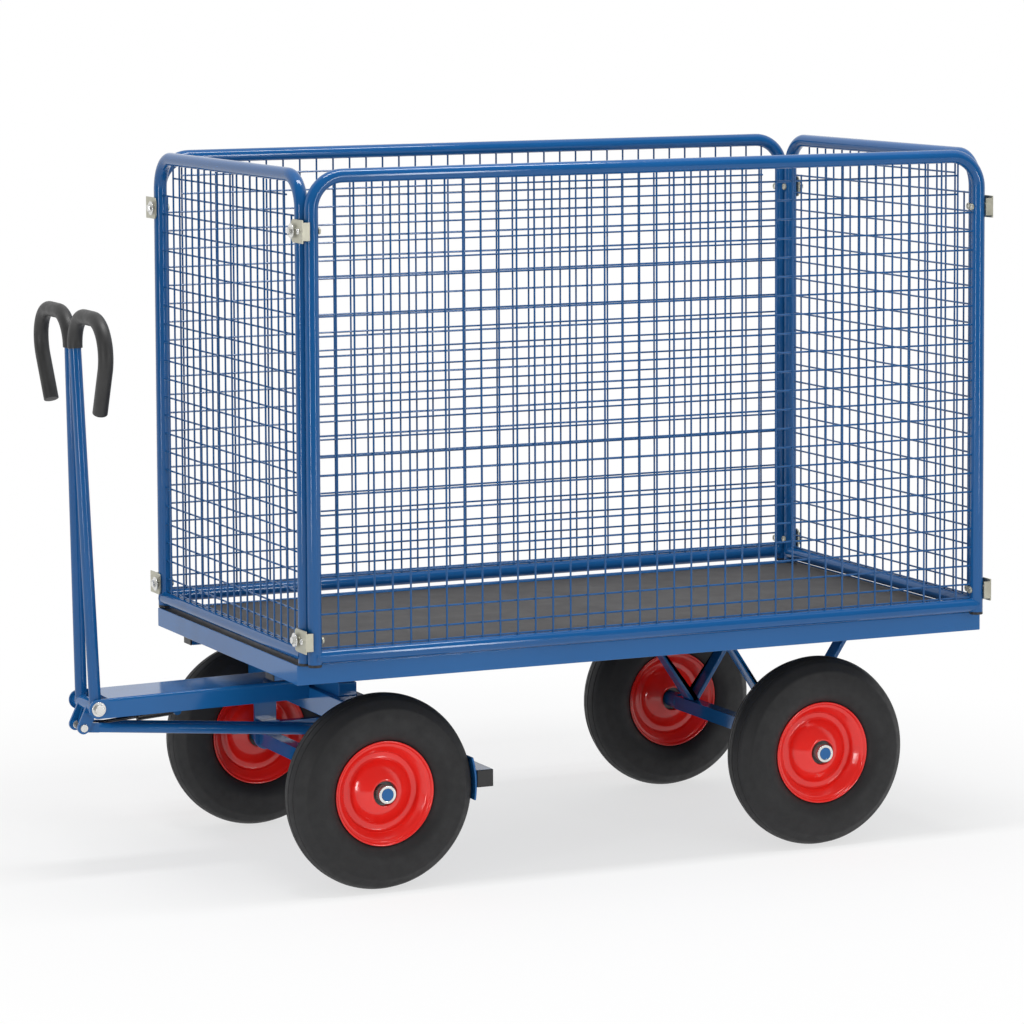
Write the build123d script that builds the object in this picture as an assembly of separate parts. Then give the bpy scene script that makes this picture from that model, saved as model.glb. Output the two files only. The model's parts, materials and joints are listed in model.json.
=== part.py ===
"""Mesh-sided platform trolley with turntable steering and a tiller brake.

Sizes are in millimetres. +X points forward to the drawbar, +Y to the left and +Z up.
The floor is z = 0. Shapes are built about the middle of the platform, and the export
moves them so that the origin lies under the middle of the whole trolley.
"""
import math
import os

from build123d import *

# Platform
PLATFORM_LENGTH = 1565.0
PLATFORM_WIDTH = 800.0
PLATFORM_TOP = 478.0
FRAME_HEIGHT = 40.0
FRAME_WALL = 4.0
LEDGE_WIDTH = 30.0
DECK_THICKNESS = 15.0
DECK_SINK = 2.5
DECK_GAP = 1.0
SLAT_WIDTH = 60.0
SLAT_SPACING = 520.0
BEAM_WIDTH = 40.0
BEAM_HEIGHT = 33.0
BEAM_WALL = 3.0
BEAM_Y = 235.0
BEAM_END_GAP = 1.0
CAP_HEAD = 4.0
CAP_PLUG = 12.0

# Walls
TUBE_RADIUS = 14.0
TUBE_WALL = 2.0
TUBE_BEND = 66.0
WALL_TOP = 1462.0
RAIL_LIFT = 20.0
END_WALL_INSET = 17.0
SIDE_WALL_OUT = 27.0
SIDE_LEG_INSET = 26.5
SIDE_LEG_DROP = 0.5
LEG_PLUG_HEAD = 5.5
LEG_PLUG_DEPTH = 12.0
WIRE = 4.0
MESH_DROP = 40.5
MESH_PITCH_Z = 39.34
MESH_EDGE_GAP = 40.0
SIDE_PITCH = 39.2
END_PITCH = 37.1
SIDE_SHORT_ROWS = 2
END_SHORT_ROWS = 1
END_CUT_UPRIGHTS = 1

# Corner brackets and their bolts
BRACKET_THICKNESS = 3.0
BRACKET_HEIGHT = 46.0
BRACKET_CORNER = 10.0
BRACKET_STEP = 5.0
BRACKET_IN = 13.0
BRACKET_OUT = 17.0
BRACKET_RETURN = 17.0
BRACKET_LOW = 530.0
BRACKET_HIGH = 1341.0
BOLT_RADIUS = 4.0
BOLT_HEAD = 5.5
BOLT_HEX = 6.5
BOLT_COLLAR = 5.0
BOLT_STICK_OUT = 2.0
WASHER_RADIUS = 15.0
WASHER_THICKNESS = 2.0
NUT_HEIGHT = 4.0
NUT_RADIUS = 7.0
BOLT_SHORT = 1.0
HOLE_CLEARANCE = 0.1

# Wheels and axles
FRONT_AXLE_X = 585.0
REAR_AXLE_X = -415.0
TYRE_RADIUS = 200.0
TYRE_WIDTH = 100.0
TYRE_SKIN = 7.0
TYRE_BEAD_RISE = 3.0
TYRE_BEAD_OUT = 4.0
TYRE_BELLY_RISE = 34.0
TYRE_SHOULDER_DROP = 10.0
TYRE_SHOULDER_HALF = 30.0
WHEEL_Y = 342.0
RIM_RADIUS = 107.0
RIM_EDGE = 34.0
RIM_SHEET = 3.0
RIM_LIP_DROP = 9.0
RIM_LIP_IN = 5.0
RIM_STEP_RADIUS = 82.0
RIM_STEP_HALF = 12.0
RIM_WELL_RADIUS = 80.5
RIM_WELL_HALF = 5.0
DISH_RADIUS = 67.0
DOME_RADIUS = 50.0
DOME_HALF = 22.0
DOME_DROP = 0.5
HUB_HALF = 35.0
HUB_RADIUS = 29.0
HUB_BORE = 25.5
BEARING_LENGTH = 16.0
BEARING_RECESS = 12.0
STUB_RADIUS = 12.5
STUB_END = 47.5
RUNNING = 0.05
RING_RADIUS = 18.5
RING_INSET = 0.5
SIDE_PLAY = 0.5
COLLAR_RADIUS = 18.0
AXLE_BAR = 30.0
REAR_BAR_END = 270.0
STRUT_WIDTH = 36.0
STRUT_THICKNESS = 10.0
STRUT_INSET = 15.0
STRUT_FOOT = 5.0
STRUT_SPREAD = 144.0

# Turning front carriage
POST_WIDTH = 50.0
POST_THICKNESS = 8.0
POST_Y = 281.0
CROSS_WIDTH = 73.0
CROSS_HEIGHT = 50.0
CROSS_TOP = 368.0
CROSS_WALL = 4.0
RISER_WIDTH = 40.0
RISER_HALF = 186.0
TURNTABLE_RADIUS = 105.0
TURNTABLE_BORE = 65.0
TURNTABLE_RING = 11.0
TURNTABLE_GAP = 0.5
CARRIER_THICKNESS = 6.0
CARRIER_LENGTH = 300.0
KING_PIN_RADIUS = 12.0
KING_PIN_HEAD = 18.0
KING_PIN_NUT = 12.0

# Drawbar and tiller
PIVOT_X = 1082.0
PIVOT_Z = 358.0
DRAWBAR_WIDTH = 130.0
DRAWBAR_HEIGHT = 40.0
DRAWBAR_WALL = 4.0
DRAWBAR_CUT = 22.0
DRAWBAR_FOLD = 6.0
DRAWBAR_TILT = 0.87
PIVOT_RADIUS = 6.0
PIVOT_HEAD = 8.0
PIVOT_HEX = 9.5
CROSS_TUBE_RADIUS = 14.0
CROSS_TUBE_GAP = 0.7
TILLER_RADIUS = 12.5
TILLER_WALL = 2.0
TILLER_LEAN = 1.8
TILLER_FOOT_Y = 44.0
TILLER_NECK_Y = 11.5
TILLER_HEIGHT = 802.0
LOOP_OUT_Y = 200.0
LOOP_BEND = 66.0
HOOK_DROP = 85.0
HOOK_END_Y = 152.0
HOOK_END_DROP = 186.0
HOOK_BEND = 80.0
GRIP_RADIUS = 15.5
GRIP_GAP = 0.5
GRIP_CAP = 3.0

# Brake levers, rods, beam and shoes
BRAKE_PIN_DX = 20.0
BRAKE_PIN_DZ = -43.0
BRAKE_PIN_RADIUS = 5.0
BRAKE_PIN_HEAD = 8.0
LEVER_Y = 22.5
LEVER_THICKNESS = 6.0
LEVER_RADIUS = 13.0
ROD_Y = 19.0
ROD_RADIUS = 10.0
ROD_FLAT = 6.0
ROD_FLAT_LENGTH = 34.0
ROD_TAPER = 30.0
ROD_EYE = 10.0
ROD_REAR_RISE = 48.0
BEAM_BAR = 35.0
BEAM_BAR_WALL = 3.0
BEAM_BAR_RISE = 12.0
BEAM_BAR_END = 371.0
BEAM_PIN_INSET = 10.0
FORK_THICKNESS = 5.0
FORK_GAP = 1.0
FORK_RADIUS = 14.0
SLOT_PLAY_X = 1.2
SLOT_PLAY_Z = 3.2
SLOT_CLEAR = 0.5
SHOE_THICKNESS = 4.0
SHOE_WIDTH = 60.0
SHOE_GAP = 0.6
SHOE_LOW = -9.0
SHOE_HIGH = 16.0
ARM_BAR = 20.0
ARM_WALL = 2.0
ARM_Y = 256.0
ARM_REACH = 84.0
SLEEVE_LENGTH = 40.0
SLEEVE_WALL = 3.0
SLEEVE_CLEAR = 0.5

# Gas spring under the drawbar
SPRING_DX = 12.0
SPRING_DZ = -42.0
SPRING_BACK = 190.0
SPRING_DROP = 30.0
SPRING_PIN = 4.0
SPRING_EYE = 8.0
SPRING_EYE_WIDTH = 10.0
SPRING_BODY = 9.0
SPRING_BODY_START = 11.0
SPRING_BODY_END = 86.0
SPRING_ROD = 4.0
SPRING_ROD_IN = 28.0
SPRING_BORE_END = 13.0
SPRING_EYE_PLAY_X = 0.7
SPRING_EYE_PLAY_Z = 3.15
SPRING_EYE_CLEAR = 0.4
SPRING_EYE_WALL = 3.5
EAR_THICKNESS = 4.0
EAR_GAP = 0.7
EAR_RADIUS = 9.0

# Levels and places worked out from the sizes above
FRAME_BOTTOM = PLATFORM_TOP - FRAME_HEIGHT
DECK_TOP = PLATFORM_TOP - DECK_SINK
DECK_BOTTOM = DECK_TOP - DECK_THICKNESS
LEDGE_BOTTOM = DECK_BOTTOM - FRAME_WALL
BEAM_BOTTOM = LEDGE_BOTTOM - BEAM_HEIGHT
HALF_LENGTH = PLATFORM_LENGTH / 2
HALF_WIDTH = PLATFORM_WIDTH / 2
BEAM_END = HALF_LENGTH - FRAME_WALL - BEAM_END_GAP - CAP_HEAD
TOP_TUBE_Z = WALL_TOP - TUBE_RADIUS
RAIL_Z = PLATFORM_TOP + RAIL_LIFT
END_X = HALF_LENGTH - END_WALL_INSET
END_LEG_Y = HALF_WIDTH
SIDE_Y = HALF_WIDTH + SIDE_WALL_OUT
SIDE_LEG_X = HALF_LENGTH - SIDE_LEG_INSET
PLATE_IN_X = END_X + TUBE_RADIUS
PLATE_OUT_X = PLATE_IN_X + BRACKET_THICKNESS
AXLE_Z = TYRE_RADIUS
BEARING_FACE = HUB_HALF - BEARING_RECESS
BEAM_BAR_Z = AXLE_Z + BEAM_BAR_RISE
ROD_REAR_Z = AXLE_Z + ROD_REAR_RISE
CARRIER_BOTTOM = BEAM_BOTTOM - CARRIER_THICKNESS
UPPER_RING_Z = CARRIER_BOTTOM - TURNTABLE_RING
LOWER_RING_TOP = UPPER_RING_Z - TURNTABLE_GAP
LOWER_RING_Z = LOWER_RING_TOP - TURNTABLE_RING
CROSS_FRONT_X = FRONT_AXLE_X + CROSS_WIDTH / 2
CROSS_BOTTOM = CROSS_TOP - CROSS_HEIGHT
POST_IN_Y = POST_Y - POST_THICKNESS
EAR_IN_Y = DRAWBAR_WIDTH / 2 - DRAWBAR_WALL
BEAM_BAR_FRONT = FRONT_AXLE_X - TYRE_RADIUS - SHOE_GAP - SHOE_THICKNESS
BEAM_BAR_BACK = BEAM_BAR_FRONT - BEAM_BAR
BEAM_BAR_TOP = BEAM_BAR_Z + BEAM_BAR / 2
ROD_REAR_X = BEAM_BAR_FRONT - BEAM_PIN_INSET
ROD_FRONT_X = PIVOT_X + BRAKE_PIN_DX
ROD_FRONT_Z = PIVOT_Z + BRAKE_PIN_DZ
ARM_BOTTOM = AXLE_Z + AXLE_BAR / 2 + SLEEVE_WALL + SLEEVE_CLEAR
ARM_FRONT_X = FRONT_AXLE_X + ARM_REACH
TILT = math.radians(DRAWBAR_TILT)
SPRING_REAR = (
    PIVOT_X - SPRING_BACK * math.cos(TILT) - SPRING_DROP * math.sin(TILT),
    PIVOT_Z + SPRING_BACK * math.sin(TILT) - SPRING_DROP * math.cos(TILT),
)
SPRING_FRONT = (PIVOT_X + SPRING_DX, PIVOT_Z + SPRING_DZ)

# The origin lies under the middle of the trolley, from the rear bolt heads to the grips
REAR_REACH = PLATE_OUT_X + BOLT_COLLAR + WASHER_THICKNESS + BOLT_HEAD
FRONT_REACH = PIVOT_X + TILLER_HEIGHT * math.sin(math.radians(TILLER_LEAN)) + GRIP_RADIUS
ORIGIN_X = (FRONT_REACH - REAR_REACH) / 2

os.makedirs("parts", exist_ok=True)


def save(name, *solids):
    """Write one node, a single solid or a group of separate ones, in the shared frame."""
    placed = [Pos(-ORIGIN_X, 0, 0) * solid for solid in solids]
    export_step(placed[0] if len(placed) == 1 else Compound(children=placed), f"parts/{name}.step")


def block(x0, x1, y0, y1, z0, z1):
    """Return a box between two corners."""
    middle = Pos((x0 + x1) / 2, (y0 + y1) / 2, (z0 + z1) / 2)
    return middle * Box(x1 - x0, y1 - y0, z1 - z0)


def bar_y(radius, x, z, y0, y1):
    """Return a round bar along Y."""
    return Pos(x, (y0 + y1) / 2, z) * Rot(90, 0, 0) * Cylinder(radius, y1 - y0)


def bar_x(radius, y, z, x0, x1):
    """Return a round bar along X."""
    return Pos((x0 + x1) / 2, y, z) * Rot(0, 90, 0) * Cylinder(radius, x1 - x0)


def bar_z(radius, x, y, z0, z1):
    """Return a round bar along Z."""
    return Pos(x, y, (z0 + z1) / 2) * Cylinder(radius, z1 - z0)


def hex_x(inner_radius, y, z, x0, x1):
    """Return a hexagonal bar along X."""
    plane = Plane((x0, y, z), x_dir=(0, 1, 0), z_dir=(1, 0, 0))
    return extrude(plane * RegularPolygon(inner_radius, 6, major_radius=False), amount=x1 - x0)


def hex_y(inner_radius, x, z, y0, y1):
    """Return a hexagonal bar along Y."""
    plane = Plane((x, y0, z), x_dir=(1, 0, 0), z_dir=(0, 1, 0))
    return extrude(plane * RegularPolygon(inner_radius, 6, major_radius=False), amount=y1 - y0)


def plate_xz(points, y0, y1):
    """Return a flat plate with an outline of (x, z) points, from y0 to y1."""
    outline = Polyline([(x, y0, z) for x, z in points], close=True)
    return extrude(make_face(outline), amount=y1 - y0, dir=(0, 1, 0))


def link_xz(first, second, radius, y0, y1):
    """Return a round-ended link between two (x, z) points, from y0 to y1."""
    dx = second[0] - first[0]
    dz = second[1] - first[1]
    middle = ((first[0] + second[0]) / 2, y0, (first[1] + second[1]) / 2)
    plane = Plane(middle, x_dir=(dx, 0, dz), z_dir=(0, 1, 0))
    return extrude(plane * SlotCenterToCenter(math.hypot(dx, dz), 2 * radius), amount=y1 - y0)


def mirror_y(shape):
    """Return the shape's twin on the other side of the trolley."""
    return mirror(shape, about=Plane.XZ)


def tube(path, radius, wall=None):
    """Return a round bar along a path, or a tube where a wall is given."""
    section = Circle(radius) if wall is None else Circle(radius) - Circle(radius - wall)
    return sweep(Plane(origin=path @ 0, z_dir=path % 0) * section, path=path)


def square_y(size, wall, x, z, y0, y1):
    """Return a square tube along Y."""
    outer = block(x - size / 2, x + size / 2, y0, y1, z - size / 2, z + size / 2)
    inner = size / 2 - wall
    return outer - block(x - inner, x + inner, y0, y1, z - inner, z + inner)


def square_x(size, wall, y, z, x0, x1):
    """Return a square tube along X."""
    outer = block(x0, x1, y - size / 2, y + size / 2, z - size / 2, z + size / 2)
    inner = size / 2 - wall
    return outer - block(x0, x1, y - inner, y + inner, z - inner, z + inner)


def build_platform():
    """Save the angle frame with its slats, the deck board and the two chassis beams."""
    in_x = HALF_LENGTH - FRAME_WALL
    in_y = HALF_WIDTH - FRAME_WALL
    frame = block(-HALF_LENGTH, HALF_LENGTH, -HALF_WIDTH, HALF_WIDTH, FRAME_BOTTOM, PLATFORM_TOP)
    frame -= block(-in_x, in_x, -in_y, in_y, DECK_BOTTOM, PLATFORM_TOP)
    frame -= block(-in_x, in_x, -in_y, in_y, FRAME_BOTTOM, LEDGE_BOTTOM)
    hole_x = in_x - LEDGE_WIDTH
    hole_y = in_y - LEDGE_WIDTH
    frame -= block(-hole_x, hole_x, -hole_y, hole_y, LEDGE_BOTTOM, DECK_BOTTOM)
    for x in (-SLAT_SPACING, 0.0, SLAT_SPACING):
        half = SLAT_WIDTH / 2
        frame += block(x - half, x + half, -hole_y, hole_y, LEDGE_BOTTOM, DECK_BOTTOM)
    save("platform_frame", frame)

    deck_x = in_x - DECK_GAP
    deck_y = in_y - DECK_GAP
    save("deck_board", block(-deck_x, deck_x, -deck_y, deck_y, DECK_BOTTOM, DECK_TOP))

    caps = []
    inner_y = BEAM_WIDTH / 2 - BEAM_WALL
    inner_z0 = BEAM_BOTTOM + BEAM_WALL
    inner_z1 = LEDGE_BOTTOM - BEAM_WALL
    for name, y in (("left_chassis_beam", BEAM_Y), ("right_chassis_beam", -BEAM_Y)):
        sides = (y - BEAM_WIDTH / 2, y + BEAM_WIDTH / 2)
        beam = block(-BEAM_END, BEAM_END, *sides, BEAM_BOTTOM, LEDGE_BOTTOM)
        beam -= block(-BEAM_END, BEAM_END, y - inner_y, y + inner_y, inner_z0, inner_z1)
        save(name, beam)
        for end in (-1, 1):
            outer = sorted((end * BEAM_END, end * (BEAM_END + CAP_HEAD)))
            plug = sorted((end * (BEAM_END - CAP_PLUG), end * BEAM_END))
            cap = block(*outer, *sides, BEAM_BOTTOM, LEDGE_BOTTOM)
            caps.append(cap + block(*plug, y - inner_y, y + inner_y, inner_z0, inner_z1))
    save("chassis_beam_caps", *caps)


def wall_frame(point, half_span, foot, holes):
    """Return a welded wall: a bent tube with two legs, and a straight rail between them."""
    path = FilletPolyline(
        point(-half_span, foot), point(-half_span, TOP_TUBE_Z),
        point(half_span, TOP_TUBE_Z), point(half_span, foot), radius=TUBE_BEND,
    )
    rail = Line(point(-half_span, RAIL_Z), point(half_span, RAIL_Z))
    inner = TUBE_RADIUS - TUBE_WALL
    frame = tube(path, TUBE_RADIUS) + tube(rail, TUBE_RADIUS)
    frame -= tube(path, inner)
    frame -= tube(rail, inner)
    for hole in holes:
        frame -= hole
    return frame


def hex_wire(start, end, normal):
    """Return a straight wire with a flat on each face of the mesh."""
    run = Vector(*end) - Vector(*start)
    plane = Plane(start, x_dir=Vector(*normal).cross(run), z_dir=run)
    return extrude(plane * RegularPolygon(WIRE / 2, 6, major_radius=False), amount=run.length)


def wall_mesh(point, normal, half_span, pitch, short_rows, cut_uprights):
    """Return the crossed wires of one wall, uprights on the outer side.

    The short rows end before the tube's bends. The cut uprights, outermost at each side, end at the
    first full row.
    """
    rail_top = RAIL_Z + TUBE_RADIUS
    bend_x = half_span - TUBE_BEND
    bend_z = TOP_TUBE_Z - TUBE_BEND
    bend_inner = TUBE_BEND - TUBE_RADIUS
    count = int(2 * (half_span - MESH_EDGE_GAP) / pitch) + 1
    outermost = pitch * (count - 1) / 2
    levels = []
    level = TOP_TUBE_Z - MESH_DROP
    while level > rail_top + MESH_PITCH_Z / 2:
        levels.append(level)
        level -= MESH_PITCH_Z
    levels.append(rail_top + WIRE / math.sqrt(3))
    wires = []
    for index in range(count):
        along = index * pitch - outermost
        past_bend = abs(along) + WIRE / 2 - bend_x
        top = TOP_TUBE_Z - TUBE_RADIUS
        if min(index, count - 1 - index) < cut_uprights:
            top = levels[short_rows] + WIRE / 2
        elif past_bend > 0:
            top = bend_z + math.sqrt(bend_inner**2 - past_bend**2)
        wires.append(hex_wire(point(along, rail_top, WIRE / 2), point(along, top, WIRE / 2), normal))
    for row, level in enumerate(levels):
        reach = half_span - TUBE_RADIUS
        if row < short_rows:
            reach = outermost - cut_uprights * pitch + WIRE / 2
        wires.append(hex_wire(point(-reach, level, -WIRE / 2), point(reach, level, -WIRE / 2), normal))
    return wires


def build_walls():
    """Save the four mesh walls, their leg plugs, and the bolted corner brackets."""
    levels = (BRACKET_LOW, BRACKET_HIGH)
    hole = BOLT_RADIUS + HOLE_CLEARANCE
    side_foot = RAIL_Z - TUBE_RADIUS - SIDE_LEG_DROP
    end_foot = PLATFORM_TOP + LEG_PLUG_HEAD
    plugs = []

    def leg_plug(x, y, foot):
        plug = bar_z(TUBE_RADIUS, x, y, foot - LEG_PLUG_HEAD, foot)
        return plug + bar_z(TUBE_RADIUS - TUBE_WALL, x, y, foot, foot + LEG_PLUG_DEPTH)

    for name, side in (("left", 1), ("right", -1)):
        def side_point(along, z, out=0.0, side=side):
            return (along, side * (SIDE_Y + out), z)

        holes = []
        for x in (-SIDE_LEG_X, SIDE_LEG_X):
            plugs.append(leg_plug(x, side * SIDE_Y, side_foot))
            for z in levels:
                holes.append(bar_x(hole, side * SIDE_Y, z, x - TUBE_RADIUS, x + TUBE_RADIUS))
        save(f"{name}_wall_frame", wall_frame(side_point, SIDE_LEG_X, side_foot, holes))
        wires = wall_mesh(side_point, (0, 1, 0), SIDE_LEG_X, SIDE_PITCH, SIDE_SHORT_ROWS, 0)
        save(f"{name}_wall_mesh", *wires)

    for name, end in (("front", 1), ("rear", -1)):
        def end_point(along, z, out=0.0, end=end):
            return (end * (END_X + out), along, z)

        holes = []
        for y in (-END_LEG_Y, END_LEG_Y):
            plugs.append(leg_plug(end * END_X, y, end_foot))
            for z in levels:
                holes.append(bar_x(hole, y, z, end * END_X - TUBE_RADIUS, end * END_X + TUBE_RADIUS))
        save(f"{name}_wall_frame", wall_frame(end_point, END_LEG_Y, end_foot, holes))
        wires = wall_mesh(end_point, (1, 0, 0), END_LEG_Y, END_PITCH, END_SHORT_ROWS, END_CUT_UPRIGHTS)
        save(f"{name}_wall_mesh", *wires)
    save("wall_leg_plugs", *plugs)

    brackets = []
    bolts = []
    nuts = []
    side_in_x = SIDE_LEG_X - TUBE_RADIUS
    side_out_x = SIDE_LEG_X + TUBE_RADIUS
    end_in_x = END_X - TUBE_RADIUS
    return_y = SIDE_Y + BRACKET_OUT
    for z in levels:
        low = z - BRACKET_HEIGHT / 2
        high = z + BRACKET_HEIGHT / 2
        bracket = block(PLATE_IN_X, PLATE_OUT_X, END_LEG_Y - BRACKET_IN, return_y, low, high)
        corners = bracket.edges().filter_by(Axis.X).group_by(Axis.Y)[0]
        bracket = fillet(corners, BRACKET_CORNER)
        bracket += block(
            PLATE_OUT_X - BRACKET_RETURN, PLATE_OUT_X, return_y - BRACKET_THICKNESS, return_y,
            low + BRACKET_STEP, high - BRACKET_STEP,
        )
        bracket += bar_x(2 * BOLT_RADIUS, SIDE_Y, z, side_out_x, PLATE_IN_X)
        bracket -= bar_x(hole, END_LEG_Y, z, PLATE_IN_X, PLATE_OUT_X)
        bracket -= bar_x(hole, SIDE_Y, z, side_out_x, PLATE_OUT_X)

        collar_x = PLATE_OUT_X + BOLT_COLLAR
        washer_x = collar_x + WASHER_THICKNESS
        end_bolt = bar_x(BOLT_RADIUS, END_LEG_Y, z, end_in_x - NUT_HEIGHT + BOLT_SHORT, PLATE_OUT_X)
        end_bolt += bar_x(2 * BOLT_RADIUS, END_LEG_Y, z, PLATE_OUT_X, collar_x)
        end_bolt += bar_x(WASHER_RADIUS, END_LEG_Y, z, collar_x, washer_x)
        end_bolt += hex_x(BOLT_HEX, END_LEG_Y, z, washer_x, washer_x + BOLT_HEAD)
        side_bolt = bar_x(BOLT_RADIUS, SIDE_Y, z, side_in_x - NUT_HEIGHT + BOLT_SHORT, PLATE_OUT_X)
        side_bolt += hex_x(BOLT_HEX, SIDE_Y, z, PLATE_OUT_X, PLATE_OUT_X + BOLT_HEAD)
        end_nut = bar_x(NUT_RADIUS, END_LEG_Y, z, end_in_x - NUT_HEIGHT, end_in_x)
        end_nut -= bar_x(BOLT_RADIUS, END_LEG_Y, z, end_in_x - NUT_HEIGHT, end_in_x)
        side_nut = bar_x(NUT_RADIUS, SIDE_Y, z, side_in_x - NUT_HEIGHT, side_in_x)
        side_nut -= bar_x(BOLT_RADIUS, SIDE_Y, z, side_in_x - NUT_HEIGHT, side_in_x)

        for group, shape in (
            (brackets, bracket), (bolts, end_bolt), (bolts, side_bolt), (nuts, end_nut), (nuts, side_nut),
        ):
            rear = mirror(shape, about=Plane.YZ)
            group += [shape, mirror_y(shape), rear, mirror_y(rear)]
    save("corner_brackets", *brackets)
    save("bracket_bolts", *bolts)
    save("bracket_nuts", *nuts)


def build_wheels():
    """Save the tyre, rim and bearings of each wheel."""
    half = TYRE_WIDTH / 2
    seat = RIM_RADIUS - 2 * RIM_SHEET
    edge_in = RIM_EDGE - RIM_SHEET
    seat_edge = edge_in - RIM_SHEET
    belly = RIM_RADIUS + TYRE_BELLY_RISE
    tread_edge = TYRE_RADIUS - TYRE_SHOULDER_DROP
    cavity_half = TYRE_SHOULDER_HALF - TYRE_SKIN / 2
    tyre_outline = []
    rim_outline = []
    for radius, across in ((tread_edge, TYRE_SHOULDER_HALF), (tread_edge - TYRE_SKIN, cavity_half)):
        top = radius + TYRE_SHOULDER_DROP
        tyre_outline.append(ThreePointArc((radius, -across), (top, 0), (radius, across)))
    for side in (-1, 1):
        bead = (RIM_RADIUS + TYRE_BEAD_RISE, side * (edge_in + TYRE_BEAD_OUT))
        outside = (belly, side * half)
        inside = (belly, side * (half - TYRE_SKIN))
        foot = (seat, side * (seat_edge - 1.5 * TYRE_SKIN))
        rim_seat = (seat, side * seat_edge)
        rim_edge = (RIM_RADIUS, side * edge_in)
        tyre_outline += Polyline(foot, rim_seat, rim_edge, bead).edges()
        tyre_outline += [
            TangentArc(outside, bead, tangent=(-1, 0)),
            TangentArc(outside, (tread_edge, side * TYRE_SHOULDER_HALF), tangent=(1, 0)),
            TangentArc(inside, foot, tangent=(-1, 0)),
            TangentArc(inside, (tread_edge - TYRE_SKIN, side * cavity_half), tangent=(1, 0)),
        ]
        dish_edge = (DISH_RADIUS, side * RIM_WELL_HALF)
        dome_top = (HUB_RADIUS, side * (HUB_HALF - DOME_DROP))
        rim_outline += Polyline(
            (RIM_WELL_RADIUS + RIM_SHEET, 0),
            (RIM_STEP_RADIUS + RIM_SHEET, side * (RIM_STEP_HALF - RIM_SHEET)),
            rim_seat, rim_edge, (RIM_RADIUS, side * RIM_EDGE), (RIM_RADIUS - RIM_SHEET, side * RIM_EDGE),
            (RIM_RADIUS - RIM_LIP_DROP, side * (RIM_EDGE - RIM_LIP_IN)),
            (RIM_STEP_RADIUS, side * RIM_STEP_HALF), (RIM_WELL_RADIUS, side * RIM_WELL_HALF), dish_edge,
        ).edges()
        rim_outline.append(ThreePointArc(dish_edge, (DOME_RADIUS, side * DOME_HALF), dome_top))
        rim_outline += Polyline(
            dome_top, (HUB_RADIUS, side * HUB_HALF), (HUB_BORE, side * HUB_HALF), (HUB_BORE, 0),
        ).edges()
    tyre = revolve(make_face(tyre_outline), Axis.Y)
    rim = revolve(make_face(rim_outline), Axis.Y)

    sleeve = Cylinder(HUB_BORE, BEARING_LENGTH) - Cylinder(STUB_RADIUS + RUNNING, BEARING_LENGTH)
    bearing = Rot(90, 0, 0) * sleeve
    offset = BEARING_FACE - BEARING_LENGTH / 2
    for name, x, y in (
        ("front_left", FRONT_AXLE_X, WHEEL_Y), ("front_right", FRONT_AXLE_X, -WHEEL_Y),
        ("rear_left", REAR_AXLE_X, WHEEL_Y), ("rear_right", REAR_AXLE_X, -WHEEL_Y),
    ):
        save(f"{name}_tyre", Pos(x, y, AXLE_Z) * tyre)
        save(f"{name}_rim", Pos(x, y, AXLE_Z) * rim)
        save(f"{name}_bearings", *[Pos(x, y + side * offset, AXLE_Z) * bearing for side in (-1, 1)])


def axle(x, bar_end):
    """Return a square axle bar with turned stubs and a shoulder for each wheel."""
    half = AXLE_BAR / 2
    shape = block(x - half, x + half, -bar_end, bar_end, AXLE_Z - half, AXLE_Z + half)
    shape += bar_y(STUB_RADIUS, x, AXLE_Z, -WHEEL_Y - STUB_END, WHEEL_Y + STUB_END)
    return shape


def axle_rings(x):
    """Return the two long rings that keep the wheels on an axle."""
    start = WHEEL_Y + BEARING_FACE + SIDE_PLAY
    end = WHEEL_Y + STUB_END - RING_INSET
    ring = bar_y(RING_RADIUS, x, AXLE_Z, start, end)
    ring -= bar_y(STUB_RADIUS, x, AXLE_Z, start, end)
    return [ring, mirror_y(ring)]


def shoulder(x, start):
    """Return the left wheel's shoulder on an axle."""
    return bar_y(COLLAR_RADIUS, x, AXLE_Z, start, WHEEL_Y - BEARING_FACE - SIDE_PLAY)


def build_rear_axle():
    """Save the rear axle and the struts that hang it from the chassis beams."""
    collar = shoulder(REAR_AXLE_X, REAR_BAR_END)
    save("rear_axle", axle(REAR_AXLE_X, REAR_BAR_END) + collar + mirror_y(collar))
    save("rear_axle_rings", *axle_rings(REAR_AXLE_X))
    low = AXLE_Z + AXLE_BAR / 2
    half = STRUT_THICKNESS / 2 * math.hypot(1, (STRUT_SPREAD - STRUT_FOOT) / (BEAM_BOTTOM - low))
    y0 = BEAM_Y - BEAM_WIDTH / 2 - STRUT_INSET
    strut = None
    for side in (-1, 1):
        foot = REAR_AXLE_X + side * STRUT_FOOT
        head = REAR_AXLE_X + side * STRUT_SPREAD
        points = [
            (foot - half, low), (foot + half, low), (head + half, BEAM_BOTTOM), (head - half, BEAM_BOTTOM),
        ]
        leg = plate_xz(points, y0, y0 + STRUT_WIDTH)
        strut = leg if strut is None else strut + leg
    save("left_rear_strut", strut)
    save("right_rear_strut", mirror_y(strut))


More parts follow.
